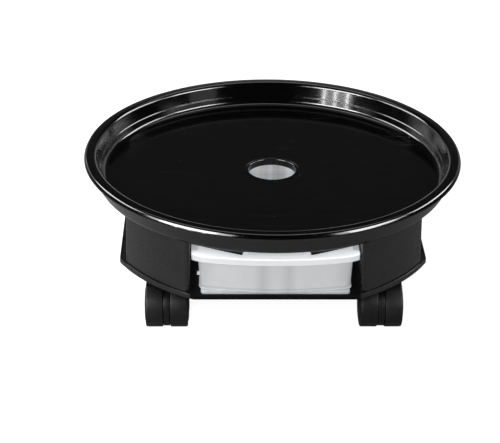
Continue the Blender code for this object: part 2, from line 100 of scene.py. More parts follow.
def inset(outline, distance):
    """A closed counter-clockwise outline moved inwards by a distance."""
    if not distance:
        return list(outline)
    moved = []
    count = len(outline)
    for i, (x, y) in enumerate(outline):
        before = Vector((x, y)) - Vector(outline[i - 1])
        after = Vector(outline[(i + 1) % count]) - Vector((x, y))
        n1 = Vector((-before.y, before.x)).normalized()
        n2 = Vector((-after.y, after.x)).normalized()
        normal = (n1 + n2).normalized()
        share = max(0.3, normal.dot(n1))
        moved.append((x + normal.x * distance / share, y + normal.y * distance / share))
    return moved


def edge_levels(low, high, radius, top_radius=None, steps=4):
    """(inset, height) pairs of an upright side with rounded lower and upper edges."""
    upper = radius if top_radius is None else top_radius
    turn = [math.pi / 2 * i / steps for i in range(steps + 1)]
    pairs = [(radius * (1 - math.sin(a)), low + radius * (1 - math.cos(a))) for a in turn]
    pairs += [(upper * (1 - math.sin(a)), high - upper * (1 - math.cos(a))) for a in reversed(turn)]
    return pairs


# ---------------------------------------------------------------- meshes

# Corners nearer than this are joined
WELD = 0.000002
# How firmly large faces keep their own normals
FLAT_WEIGHT = 80


def link(name, mesh):
    obj = bpy.data.objects.new(name, mesh)
    bpy.context.scene.collection.objects.link(obj)
    return obj


def add_rings(shape, rings, around=False):
    """Skins a stack of closed rings; with around, the last ring joins the first, else both are capped."""
    made = [[shape.verts.new(p) for p in ring] for ring in rings]
    pairs = list(zip(made, made[1:]))
    if around:
        pairs.append((made[-1], made[0]))
    for lower, upper in pairs:
        count = len(lower)
        for i in range(count):
            j = (i + 1) % count
            shape.faces.new((lower[i], lower[j], upper[j], upper[i]))
    if not around:
        shape.faces.new(list(reversed(made[0])))
        shape.faces.new(made[-1])


def add_slab(shape, outline, levels):
    """An upright solid: the outline drawn in by each level's inset, at each level's height."""
    add_rings(shape, [[(x, y, z) for x, y in inset(outline, d)] for d, z in levels])


def add_block(shape, low, high, radius):
    """A box with every edge rounded."""
    (x0, y0, z0), (x1, y1, z1) = low, high
    turn = 1.5 * radius
    corners = [(x0, y0, turn), (x1, y0, turn), (x1, y1, turn), (x0, y1, turn)]
    add_slab(shape, rounded(corners, 4), edge_levels(z0, z1, radius))


def add_turned(shape, profile, angles, shift=None):
    """A closed (radius, height) profile turned about the upright axis, each point moved by shift."""
    rings = []
    for angle in angles:
        ring = []
        for radius, height in profile:
            if shift:
                radius, height = shift(angle, radius, height)
            ring.append((radius * math.cos(angle), radius * math.sin(angle), height))
        rings.append(ring)
    add_rings(shape, rings, around=True)


def even(count):
    """Evenly spaced angles all the way round."""
    return [math.tau * i / count for i in range(count)]


def new_shape():
    return bmesh.new()


def smooth(mesh):
    """Smooth shading between sharp corners."""
    mesh.shade_smooth()
    mesh.set_sharp_from_angle(angle=SHARP_ANGLE)


def close_shape(shape, name, place=None):
    """Turns the collected shells into an object, moved to its place."""
    bmesh.ops.remove_doubles(shape, verts=shape.verts, dist=WELD)
    loose = [edge for edge in shape.edges if not edge.link_faces]
    bmesh.ops.delete(shape, geom=loose, context="EDGES")
    if place is not None:
        bmesh.ops.transform(shape, matrix=place, verts=shape.verts)
    bmesh.ops.recalc_face_normals(shape, faces=shape.faces)
    mesh = bpy.data.meshes.new(name)
    shape.to_mesh(mesh)
    shape.free()
    smooth(mesh)
    return link(name, mesh)


def carve(obj, others, operation="DIFFERENCE"):
    """Applies exact booleans with the other objects, which are used up."""
    for other in others:
        step = obj.modifiers.new(other.name, "BOOLEAN")
        step.operation = operation
        step.solver = "EXACT"
        step.object = other
    bpy.context.view_layer.update()
    graph = bpy.context.evaluated_depsgraph_get()
    mesh = bpy.data.meshes.new_from_object(obj.evaluated_get(graph))
    obj.modifiers.clear()
    obj.data = mesh
    for other in others:
        bpy.data.objects.remove(other, do_unlink=True)
    smooth(mesh)
    return obj


def fuse(obj, others):
    return carve(obj, others, "UNION")


def turned_piece(name, corners, sides, place, steps=4):
    """A turned piece from (radius, height, corner radius) triples.

    The triples of a piece without a bore start and end on the axis."""
    shape = new_shape()
    add_turned(shape, rounded(corners, steps), even(sides))
    return close_shape(shape, name, place)


def peg(name, radius, low, high, centres, sides=48):
    """Upright pegs with softened ends, one at each centre."""
    shape = new_shape()
    soft = min(0.0003, radius / 4)
    for x, y in centres:
        circle = [(x + radius * math.cos(a), y + radius * math.sin(a)) for a in even(sides)]
        add_slab(shape, circle, edge_levels(low, high, soft, steps=3))
    return close_shape(shape, name)


def steady_normals(obj):
    """Keeps large flat faces flat beside their rounded edges."""
    step = obj.modifiers.new("Weighted normals", "WEIGHTED_NORMAL")
    step.keep_sharp = True
    step.weight = FLAT_WEIGHT


def put(obj, body, material, slot, *nodes):
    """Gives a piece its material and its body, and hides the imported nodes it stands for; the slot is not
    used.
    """
    obj.data.materials.clear()
    obj.data.materials.append(material)
    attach(obj, body)
    if nodes:
        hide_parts(*nodes)
    return obj


# ---------------------------------------------------------------- materials

def node(tree, kind, **settings):
    made = tree.nodes.new(kind)
    for key, value in settings.items():
        setattr(made, key, value)
    return made


def noise(tree, where, scale, detail, rough):
    made = node(tree, "ShaderNodeTexNoise")
    made.inputs["Scale"].default_value = scale
    made.inputs["Detail"].default_value = detail
    made.inputs["Roughness"].default_value = rough
    tree.links.new(where, made.inputs["Vector"])
    return made.outputs["Fac"]


def spread(tree, value, low, high, start=0.3, end=0.7):
    made = node(tree, "ShaderNodeMapRange")
    made.inputs["From Min"].default_value = start
    made.inputs["From Max"].default_value = end
    made.inputs["To Min"].default_value = low
    made.inputs["To Max"].default_value = high
    tree.links.new(value, made.inputs["Value"])
    return made.outputs["Result"]


def ramp(tree, value, dark, light, start=0.3, end=0.7):
    made = node(tree, "ShaderNodeValToRGB")
    made.color_ramp.elements[0].position = start
    made.color_ramp.elements[0].color = (*dark, 1.0)
    made.color_ramp.elements[1].position = end
    made.color_ramp.elements[1].color = (*light, 1.0)
    tree.links.new(value, made.inputs["Fac"])
    return made.outputs["Color"]


def calc(tree, operation, first, second):
    made = node(tree, "ShaderNodeMath", operation=operation)
    for socket, value in zip(made.inputs, (first, second)):
        if isinstance(value, (int, float)):
            socket.default_value = value
        else:
            tree.links.new(value, socket)
    return made.outputs["Value"]


def stretched(tree, where, scale, turn):
    """Coordinates squeezed along one direction, for scratches and for streaks of painted light."""
    made = node(tree, "ShaderNodeMapping")
    made.inputs["Rotation"].default_value = (0.0, 0.0, turn)
    made.inputs["Scale"].default_value = scale
    tree.links.new(where, made.inputs["Vector"])
    return made.outputs["Vector"]


# The drawer's painted shade and painted light, as shares of its full colour
PAINTED_WALL_SHADE = 0.72
PAINTED_BAND_SHADE = 0.84
PAINTED_SIDE_SHADE = 0.90
PAINTED_FLANGE_LIGHT = 1.75
PAINTED_FOOT_SHADE = 0.86
PAINTED_INSIDE_LIGHT = 0.36
# Where those shares change: (from, to) in metres
UNDER_FLANGE = (0.0780, 0.0800)
FLANGE_TOP = (0.0842, 0.0853)
FOOT_EDGE = (0.0560, 0.0566)
BAND_INNER = (0.0030, 0.0110)
BAND_OUTER = (0.0110, 0.0190)
BOWED_ENDS = (0.0500, 0.0600)
ROOM_FRONT = (-0.1120, -0.1080)
ROOM_REAR = (0.0878, 0.0888)
# Noise scale and levels of the painted light streaks inside; a larger scale is finer
LIGHT_STREAK_SCALE = 75.0
LIGHT_STREAK_LEVELS = (0.36, 0.60)


def painted_drawer_light(tree, where, colour):
    """Painted shade and light on the drawer: darkens the front wall below the flange, a little more along two
    upright bands and towards the bowed ends and the foot, lightens the flange's top and draws soft streaks of
    painted light inside."""
    split = node(tree, "ShaderNodeSeparateXYZ")
    tree.links.new(where, split.inputs["Vector"])
    height = split.outputs["Z"]
    depth = split.outputs["Y"]
    across = calc(tree, "ABSOLUTE", split.outputs["X"], 0.0)
    inner = spread(tree, across, 1.0, 0.0, *BAND_INNER)
    outer = spread(tree, across, 0.0, 1.0, *BAND_OUTER)
    band = spread(tree, calc(tree, "MAXIMUM", inner, outer), PAINTED_BAND_SHADE, 1.0, 0.0, 1.0)
    sides = spread(tree, across, 1.0, PAINTED_SIDE_SHADE, *BOWED_ENDS)
    rim = spread(tree, height, 0.0, 1.0, *UNDER_FLANGE)
    band_and_side_shade = calc(tree, "MAXIMUM", calc(tree, "MULTIPLY", band, sides), rim)
    shade = calc(tree, "MULTIPLY", spread(tree, height, PAINTED_WALL_SHADE, 1.0, *UNDER_FLANGE), band_and_side_shade)
    # Painted light on the flange's top
    shade = calc(tree, "MULTIPLY", shade, spread(tree, height, 1.0, PAINTED_FLANGE_LIGHT, *FLANGE_TOP))
    shade = calc(tree, "MULTIPLY", shade, spread(tree, height, PAINTED_FOOT_SHADE, 1.0, *FOOT_EDGE))
    # Painted light in soft streaks over the floor and the rear wall inside
    low = spread(tree, height, 1.0, 0.0, *FOOT_EDGE)
    low = calc(tree, "MAXIMUM", low, spread(tree, depth, 0.0, 1.0, *ROOM_REAR))
    inside = calc(tree, "MULTIPLY", spread(tree, depth, 0.0, 1.0, *ROOM_FRONT), low)
    light_streaks = noise(tree, stretched(tree, where, (1.0, 0.04, 0.04), 0.0), LIGHT_STREAK_SCALE, 2.0, 0.5)
    gain = spread(tree, light_streaks, 0.0, PAINTED_INSIDE_LIGHT, *LIGHT_STREAK_LEVELS)
    shade = calc(tree, "ADD", shade, calc(tree, "MULTIPLY", gain, inside))
    dim = node(tree, "ShaderNodeVectorMath", operation="SCALE")
    tree.links.new(colour, dim.inputs[0])
    tree.links.new(shade, dim.inputs["Scale"])
    return dim.outputs["Vector"]


# The base's sheen, and where it dies away as painted shade in the drawer's bay: (from, to) in metres
FULL_SHEEN = 0.5
SHADED_BAY_SHEEN = 0.05
BAY_SIDES = (0.0720, 0.0740)
BAY_CEILING = (0.0968, 0.0978)
BAY_FLOOR = (0.0479, 0.0484)
BAY_END = (0.1080, 0.1120)
PLATE_FRONT = (-PLATE_BOX_HIGH.x + 0.001, -PLATE_BOX_HIGH.x + 0.002)


def painted_bay_shade(tree, where):
    """Painted shade: sheen that dies away inside the drawer's bay and along the plate's front edge."""
    split = node(tree, "ShaderNodeSeparateXYZ")
    tree.links.new(where, split.inputs["Vector"])
    height = split.outputs["Z"]
    depth = split.outputs["Y"]
    across = calc(tree, "ABSOLUTE", split.outputs["X"], 0.0)
    beside = spread(tree, across, SHADED_BAY_SHEEN, FULL_SHEEN, *BAY_SIDES)
    behind = spread(tree, depth, 0.0, FULL_SHEEN, *BAY_END)
    above = spread(tree, height, 0.0, FULL_SHEEN, *BAY_CEILING)
    below = spread(tree, height, FULL_SHEEN, 0.0, *BAY_FLOOR)
    below = calc(tree, "MINIMUM", below, spread(tree, depth, 0.0, FULL_SHEEN, *PLATE_FRONT))
    upright = calc(tree, "MAXIMUM", above, below)
    return calc(tree, "MAXIMUM", calc(tree, "MAXIMUM", beside, behind), upright)


# The skin of every plastic and metal here, as noise scales and levels
CLOUD_SCALE = 22.0
GLOSS_SCALE = 75.0
WAVE_RATIO = 14.0
WAVE_SHARE = 2.0
SCRATCH_SETS = ((0.5, 840.0), (2.1, 600.0))  # (direction in radians, scale)
SCRATCH_LEVELS = (0.70, 0.74)
DUST_SCALE = 120.0
DUST_LEVELS = (0.80, 1.0)
DUST_COLOUR = (0.34, 0.34, 0.33, 1.0)
DUST_ROUGHNESS = 0.5


def plastic(name, dark, light, gloss, grain, dust=0.0, scratches=0.0, painted_glow=False, bay=False, **constants):
    """Moulded plastic or bare metal: clouded colour, uneven gloss, a fine skin, and a little dust and wear;
    on request also painted shade, painted light and glow.

    gloss is (lowest, highest) roughness and grain is (size, height) in metres."""
    made = bpy.data.materials.new(name)
    made.use_nodes = True
    tree = made.node_tree
    shader = tree.nodes["Principled BSDF"]
    where = node(tree, "ShaderNodeTexCoord").outputs["Object"]
    colour = ramp(tree, noise(tree, where, CLOUD_SCALE, 5.0, 0.6), dark, light)
    roughness = spread(tree, noise(tree, where, GLOSS_SCALE, 6.0, 0.65), *gloss)
    size, height = grain
    skin = noise(tree, where, 1.0 / size, 2.0, 0.5)
    waves = noise(tree, where, 1.0 / (size * WAVE_RATIO), 2.0, 0.5)
    relief = calc(tree, "ADD", skin, calc(tree, "MULTIPLY", waves, WAVE_SHARE))
    if scratches:
        for turn, density in SCRATCH_SETS:
            lines = noise(tree, stretched(tree, where, (0.03, 1.0, 1.0), turn), density, 1.0, 0.3)
            roughness = calc(tree, "ADD", roughness, spread(tree, lines, 0.0, scratches, *SCRATCH_LEVELS))
    if dust:
        cells = node(tree, "ShaderNodeTexVoronoi")
        cells.inputs["Scale"].default_value = DUST_SCALE
        cells.inputs["Randomness"].default_value = 1.0
        tree.links.new(where, cells.inputs["Vector"])
        split = node(tree, "ShaderNodeSeparateColor")
        tree.links.new(cells.outputs["Color"], split.inputs["Color"])
        speck = spread(tree, split.outputs["Red"], 0.0, dust, *DUST_LEVELS)
        near = calc(tree, "LESS_THAN", cells.outputs["Distance"], speck)
        mix = node(tree, "ShaderNodeMix", data_type="RGBA")
        mix.inputs["B"].default_value = DUST_COLOUR
        tree.links.new(near, mix.inputs["Factor"])
        tree.links.new(colour, mix.inputs["A"])
        colour = mix.outputs["Result"]
        roughness = calc(tree, "ADD", roughness, calc(tree, "MULTIPLY", near, DUST_ROUGHNESS))
    bump = node(tree, "ShaderNodeBump")
    bump.inputs["Strength"].default_value = 1.0
    bump.inputs["Distance"].default_value = height
    tree.links.new(relief, bump.inputs["Height"])
    # Painted shade and light in the colour, which also glows as painted light through the emission
    if painted_glow:
        colour = painted_drawer_light(tree, where, colour)
        tree.links.new(colour, shader.inputs["Emission Color"])
    # Painted shade: the sheen dies away in the drawer's bay
    if bay:
        tree.links.new(painted_bay_shade(tree, where), shader.inputs["Specular IOR Level"])
    tree.links.new(colour, shader.inputs["Base Color"])
    tree.links.new(roughness, shader.inputs["Roughness"])
    tree.links.new(bump.outputs["Normal"], shader.inputs["Normal"])
    for socket, value in constants.items():
        shader.inputs[socket.replace("_", " ")].default_value = value
    return made


GLOSS_BLACK = plastic(
    "gloss_black", (0.0006, 0.0006, 0.0006), (0.0012, 0.0012, 0.0012), (0.09, 0.14),
    (0.00045, 0.0000025), dust=0.045, scratches=0.10,
)
# With bay, the sheen carries painted shade in the drawer's bay
SATIN_BLACK = plastic(
    "satin_black", (0.0030, 0.0030, 0.0032), (0.0055, 0.0055, 0.0058), (0.24, 0.34),
    (0.00040, 0.000008), dust=0.03, scratches=0.06, bay=True,
)
CASTER_BLACK = plastic(
    "caster_black", (0.0040, 0.0040, 0.0042), (0.0075, 0.0075, 0.0078), (0.30, 0.44),
    (0.00035, 0.000015), dust=0.05, Specular_IOR_Level=0.20,
)
WHEEL_BLACK = plastic(
    "wheel_black", (0.0045, 0.0045, 0.0047), (0.0080, 0.0080, 0.0083), (0.34, 0.50),
    (0.00040, 0.000020), dust=0.08, scratches=0.10, Specular_IOR_Level=0.20,
)
# The drawer glows through its emission: painted light, with painted shade and light in its colour
MILKY = plastic(
    "milky_plastic", (0.56, 0.57, 0.58), (0.62, 0.63, 0.64), (0.30, 0.42),
    (0.00050, 0.000010), scratches=0.05, painted_glow=True,
    Subsurface_Weight=0.55, Subsurface_Scale=0.006, Subsurface_Radius=(1.0, 1.0, 1.0),
    Emission_Strength=0.46,
)
ZINC = plastic(
    "zinc", (0.50, 0.51, 0.53), (0.66, 0.67, 0.68), (0.22, 0.42),
    (0.00060, 0.000010), scratches=0.10, Metallic=1.0,
)


# ---------------------------------------------------------------- saucer

TRAY_RADIUS = TRAY_HIGH.x
TRAY_TOP = TRAY_HIGH.z
TRAY_FLOOR = 0.1045
TRAY_UNDER = TRAY_FLOOR - 0.0022
TRAY_DRAIN = 0.0216
LIP_LOW = 0.1204
STUD_RADIUS = 0.0040
STUD_BORE = 0.0019
STUD_LOW = 0.0999
ROUND_SIDES = 288
STUDS = [(sx * 0.0900, sy * 0.1060) for sx in (-1, 1) for sy in (-1, 1)]


def make_saucer():
    # Rim and turned-down lip, wall from outside, underside, drain hole, floor, wall from inside
    corners = [
        (0.1590, TRAY_TOP, 0.0042),
        (TRAY_RADIUS - 0.0017, TRAY_TOP - 0.0006, 0.0026),
        (TRAY_RADIUS - 0.0002, 0.1221, 0.0024),
        (TRAY_RADIUS, LIP_LOW, 0.0007),
        (TRAY_RADIUS - 0.0019, LIP_LOW, 0.0007),
        (TRAY_RADIUS - 0.0022, 0.1218, 0.0008),
        (0.1656, 0.1215, 0.0008),
        (0.1596, 0.1054, 0.0030),
        (0.1578, TRAY_UNDER, 0.0033),
        (0.0242, TRAY_UNDER, 0.0010),
        (0.0234, TRAY_LOW.z, 0.0005),
        (TRAY_DRAIN, TRAY_LOW.z, 0.0004),
        (TRAY_DRAIN, TRAY_FLOOR + 0.0003, 0.0008),
        (0.0236, TRAY_FLOOR + 0.0003, 0.0015),
        (0.0250, TRAY_FLOOR, 0.0025),
        (0.1532, TRAY_FLOOR, 0.0045),
        (0.1550, 0.1118, 0.0007),
        (0.1555, 0.1124, 0.0006),
    ]
    shape = new_shape()
    add_turned(shape, rounded(corners, 7), even(ROUND_SIDES))
    saucer = close_shape(shape, "saucer")
    studs = peg("stud", STUD_RADIUS, STUD_LOW, TRAY_FLOOR - 0.0010, STUDS)
    holes = peg("stud_hole", STUD_BORE, 0.0990, TRAY_FLOOR - 0.0016, STUDS, 32)
    carve(studs, [holes])
    fuse(saucer, [studs])
    steady_normals(saucer)
    return put(saucer, "base", GLOSS_BLACK, "saucer_plastic", "saucer_tray")


# ---------------------------------------------------------------- drum

RING_RADIUS = DRUM_BOX_HIGH.x
RING_LOW = 0.0976
DECK_TOP = DRUM_BOX_HIGH.z
DECK_LOW = DECK_TOP - 0.0024
DRUM_LOW = DRUM_BOX_LOW.z
WALL = 0.0024
DRUM_FLAT = 0.1290
DRUM_RADIUS = 0.1498
BAY_HALF = 0.0727
BAY_REAR = 0.1040
NOTCH_HALF = 0.0285
NOTCH_RISE = 0.0030
RING_EDGE = 0.0012
BROW_END = 0.0610
BROW_DROP = 0.0024
BROW_CURVE = 1.6
CORNER_STEPS = 20
WALL_SPREAD = 0.008
DECK_HOLE = 0.0600
POST_RADIUS = 0.0045
STUD_ROOM = 0.0046
RAIL_FRONT = -0.1180
RAIL_LOW = 0.0765
RAIL_HIGH = 0.0793
POSTS = [(sx * 0.1150, y) for sx in (-1, 1) for y in (-0.0340, 0.0340)]
POSTS += [(-0.0450, 0.1170), (0.0450, 0.1170)]


def horseshoe(depth):
    """The drum's wall line seen from above, at a depth below its outer skin: round corners,
    flat sides and the drawer's bay."""
    radius = DRUM_RADIUS - depth
    flat = DRUM_FLAT - depth
    bay_half = BAY_HALF + depth
    bay_rear = BAY_REAR + depth
    jamb = 0.0016 if depth < WALL / 2 else 0.0002
    half = math.degrees(math.acos(flat / radius))
    points = []
    for quarter in (-1, 0, 1, 2):
        start = quarter * 90 + half
        piece = arc(0, 0, radius, start, start + 90 - 2 * half, CORNER_STEPS)
        points += [(x, y, 0.004 if k in (0, CORNER_STEPS) else 0.0) for k, (x, y) in enumerate(piece)]
    points += [(-bay_half, -flat, jamb), (-bay_half, bay_rear, 0.0040)]
    points += [(bay_half, bay_rear, 0.0040), (bay_half, -flat, jamb)]
    return rounded(points, 6)


def notch(angle, radius, height):
    """Lifts the ring's lower edge in the finger notch, and lowers it a little on both sides."""
    x = abs(radius * math.cos(angle))
    if math.sin(angle) > 0 or height > RING_LOW + RING_EDGE or radius < RING_RADIUS - 0.01:
        return radius, height
    lift = min(max((NOTCH_HALF - x) / NOTCH_RISE, 0.0), 1.0) * (NOTCH_RISE - RING_EDGE)
    if NOTCH_HALF < x < BROW_END:
        lift = -BROW_DROP * ((BROW_END - x) / (BROW_END - NOTCH_HALF)) ** BROW_CURVE
    return radius, height + lift


def make_drum():
    extra = []
    for x in (NOTCH_HALF, NOTCH_HALF - NOTCH_RISE):
        for fine in (-0.0004, 0.0004):
            turn = math.asin((x + fine) / RING_RADIUS)
            extra += [-math.pi / 2 - turn, -math.pi / 2 + turn]
    angles = sorted(a % math.tau for a in even(ROUND_SIDES) + extra)
    corners = [
        (RING_RADIUS, DECK_TOP, 0.0008),
        (DECK_HOLE, DECK_TOP, 0.0008),
        (DECK_HOLE, DECK_LOW, 0.0008),
        (RING_RADIUS - WALL, DECK_LOW, 0.0008),
        (RING_RADIUS - WALL, RING_LOW, 0.0007),
        (RING_RADIUS, RING_LOW, 0.0007),
    ]
    shape = new_shape()
    add_turned(shape, rounded(corners, 5), angles, shift=notch)
    ring = close_shape(shape, "drum")

    outer = horseshoe(0.0)
    inner = horseshoe(WALL)
    top = DECK_LOW + 0.0010
    middle = (top + DRUM_LOW) / 2
    bead = 0.0006
    down = [(0.0, top), (0.0, middle), (0.0, DRUM_LOW + bead), (bead, DRUM_LOW)]
    levels = [(outer, distance, height) for distance, height in down]
    levels += [(inner, -distance, height) for distance, height in reversed(down)]
    rings = []
    for line, distance, height in levels:
        wider = 1.0 + WALL_SPREAD * (top - height) / (top - DRUM_LOW)
        rings.append([(x * wider, y * wider, height) for x, y in inset(line, distance)])
    shape = new_shape()
    add_rings(shape, rings, around=True)
    walls = close_shape(shape, "drum_walls")

    shape = new_shape()
    for side in (-1, 1):
        near = side * (BAY_HALF - 0.0042)
        far = side * (BAY_HALF + WALL / 2)
        low = (min(near, far), RAIL_FRONT, RAIL_LOW)
        add_block(shape, low, (max(near, far), BAY_REAR + WALL / 2, RAIL_HIGH), 0.0006)
    rails = close_shape(shape, "rails")
    posts = peg("posts", POST_RADIUS, DRUM_LOW, DECK_LOW + 0.0008, POSTS)
    stud_holes = peg("deck_holes", STUD_ROOM, DECK_LOW - 0.001, DECK_TOP + 0.001, STUDS)
    carve(ring, [stud_holes])
    fuse(ring, [walls, rails, posts])
    steady_normals(ring)
    return put(ring, "base", SATIN_BLACK, "base_plastic", "base_drum")


# ---------------------------------------------------------------- bottom plate

PLATE_LOW = PLATE_BOX_LOW.z
PLATE_LIP_TOP = 0.0507
PLATE_TOP = 0.0500
PLATE_FLOOR_LOW = 0.0476
BOSS_TOP = PLATE_BOX_HIGH.z
PLATE_FLAT = PLATE_BOX_HIGH.x
PLATE_RADIUS = 0.1530
RIB_HALF = 0.0009
RIB_SOFT = 0.0003
RIBS_ACROSS = 0.0450
RIBS_ALONG = 0.0300
PAD_RADIUS = 0.0120
BOSS_RADIUS = 0.0090
BOSS_BORE = 0.0063
SCREW_HOLE = 0.0022


def rib_reach(offset, gap):
    """How far a rib runs at an offset from the middle, leaving a gap to the plate's edge."""
    chord = math.sqrt(PLATE_RADIUS**2 - (abs(offset) + 2 * RIB_HALF) ** 2)
    return min(PLATE_FLAT, chord) - gap


def caster_centres():
    """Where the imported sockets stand, seen from above."""
    spots = []
    for name in CASTERS:
        low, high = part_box(name + "_socket")
        spots.append(((low.x + high.x) / 2, (low.y + high.y) / 2))
    return spots


def chorded(radius, flat, soft, count=16):
    """A circle cut by four flats, with softened ends."""
    half = math.degrees(math.acos(flat / radius))
    points = []
    for quarter in range(4):
        start = quarter * 90 + half
        piece = arc(0, 0, radius, start, start + 90 - 2 * half, count)
        points += [(x, y, soft if k in (0, count) else 0.0) for k, (x, y) in enumerate(piece)]
    return rounded(points, 5)


def make_plate():
    outline = chorded(PLATE_RADIUS, PLATE_FLAT, 0.0040)
    # A shallow pan underneath, a rounded side and a thin raised lip on top
    levels = [(0.0022, PLATE_FLOOR_LOW), (0.0022, PLATE_LOW + 0.0004), (0.0018, PLATE_LOW)]
    levels += [(0.0005, PLATE_LOW), (0.0001, PLATE_LOW + 0.0002), (0.0, PLATE_LOW + 0.0005)]
    levels += [(0.0, PLATE_LIP_TOP - 0.0005), (0.00015, PLATE_LIP_TOP - 0.00015), (0.0005, PLATE_LIP_TOP)]
    levels += [(0.0010, PLATE_LIP_TOP), (0.0013, PLATE_LIP_TOP - 0.0003), (0.0014, PLATE_TOP)]
    shape = new_shape()
    add_slab(shape, outline, levels)
    plate = close_shape(shape, "bottom_plate")
    centres = caster_centres()
    reach_x = abs(centres[0][0])
    reach_y = abs(centres[0][1])
    middle = (PLATE_TOP + PLATE_FLOOR_LOW) / 2
    shape = new_shape()
    for k, offset in enumerate((-reach_y, -RIBS_ACROSS, RIBS_ACROSS, reach_y)):
        reach = rib_reach(offset, 0.0011)
        low = (-reach, offset - RIB_HALF, PLATE_LOW + 0.0003 + k * TINY)
        add_block(shape, low, (reach, offset + RIB_HALF, middle + k * TINY), RIB_SOFT)
    across = close_shape(shape, "ribs_across")
    shape = new_shape()
    for k, offset in enumerate((-reach_x, -RIBS_ALONG, RIBS_ALONG, reach_x)):
        reach = rib_reach(offset, 0.0012)
        low = (offset - RIB_HALF, -reach, PLATE_LOW + 0.0006 + k * TINY)
        add_block(shape, low, (offset + RIB_HALF, reach, middle - 0.0003 + k * TINY), RIB_SOFT)
    along = close_shape(shape, "ribs_along")
    pads = peg("pads", PAD_RADIUS, PLATE_LOW, middle + 0.0002, centres)
    bosses = peg("bosses", BOSS_RADIUS, middle - 0.0003, BOSS_TOP, centres)
    bores = peg("bores", BOSS_BORE, PLATE_LOW - 0.001, BOSS_TOP + 0.001, centres)
    holes = peg("plate_holes", SCREW_HOLE, PLATE_LOW, PLATE_TOP + 0.001, POSTS, 24)
    shape = new_shape()
    way_low = (-BAY_HALF, -PLATE_FLAT - 0.0010, PLATE_TOP + 0.0001)
    add_block(shape, way_low, (BAY_HALF, -PLATE_FLAT + 0.0040, PLATE_LIP_TOP + 0.0010), 0.0002)
    drawer_way = close_shape(shape, "drawer_way")
    fuse(plate, [across, along, pads, bosses])
    carve(plate, [bores, holes, drawer_way])
    steady_normals(plate)
    return put(plate, "base", SATIN_BLACK, "base_plastic", "base_plate")


# ---------------------------------------------------------------- water drawer

DRAWER_LOW = DRAWER_BOX_LOW.z
DRAWER_TOP = DRAWER_BOX_HIGH.z
DRAWER_REAR = DRAWER_BOX_HIGH.y
FLANGE_FRONT = DRAWER_BOX_LOW.y
BOW_RADIUS = 0.3000
DRAWER_HALF = 0.0660
DRAWER_FRONT = -0.1355
ROOM_WALL_FRONT = -0.1190
DRAWER_WALL = 0.0022
DRAWER_DRAFT = 0.977
FOOT_TOP = DRAWER_LOW + 0.0030
FLANGE_LOW = DRAWER_TOP - 0.0063
FLANGE_HALF = 0.0715
FLANGE_REAR = -0.1202
RIDGE_HALF = 0.0652
RIDGE_FRONT = -0.1364
FOOT_HALF = 0.0635
FOOT_FRONT = -0.1340
RUNNER_FAR = 0.0718
RUNNER_FRONT = -0.1215
RUNNER_LOW = 0.0797
RUNNER_HIGH = 0.0828
NUB_LOW = (-0.0668, -0.1262, 0.0645)
NUB_HIGH = (-0.0640, -0.1236, 0.0675)
HOLLOW_HALF = 0.0535
HOLLOW_FRONT = -0.1333
HOLLOW_MIDDLE = -0.1318
HOLLOW_REAR = -0.1212
GRIP_HALF = 0.0240
GRIP_WALL = 0.0022
GRIP_FRONT = -0.1285
GRIP_REAR = -0.1215
GRIP_LOW = 0.0640


def bow(x, front):
    """Where the bowed front stands at a distance from the middle."""
    return front + BOW_RADIUS - math.sqrt(BOW_RADIUS**2 - x**2)


def bowed_line(half, front, count=32):
    """Points along the bowed front, from left to right."""
    return [(x, bow(x, front), 0.0) for x in [half * (2 * i / count - 1) for i in range(count + 1)]]


def body_outline(half, front, rear, corner, rear_corner):
    """Bowed front, straight sides and rounded corners."""
    line = bowed_line(half - corner, front)
    corner_y = bow(half, front)
    points = [*line, (half, corner_y, corner), (half, rear, rear_corner)]
    points += [(-half, rear, rear_corner), (-half, corner_y, corner)]
    return rounded(points, 8)


def flange_outline():
    """The flange from above: a bowed front whose corners are cut back and rounded."""
    flat = FLANGE_HALF - 0.0085
    side_front = bow(flat, FLANGE_FRONT) + 0.0047
    line = bowed_line(flat, FLANGE_FRONT)
    line[0] = (*line[0][:2], 0.0020)
    line[-1] = (*line[-1][:2], 0.0020)
    points = [*line, (FLANGE_HALF, side_front, 0.0025), (FLANGE_HALF, FLANGE_REAR, 0.0016)]
    points += [(-FLANGE_HALF, FLANGE_REAR, 0.0016), (-FLANGE_HALF, side_front, 0.0025)]
    return rounded(points, 5)


def drafted(outline, levels):
    """Rings of an outline whose sides draw in towards the drawer's foot."""
    rings = []
    for distance, height in levels:
        up = (height - FOOT_TOP) / (DRAWER_TOP - FOOT_TOP)
        share = DRAWER_DRAFT + (1 - DRAWER_DRAFT) * up
        rings.append([(x * share, y, height) for x, y in inset(outline, distance)])
    return rings


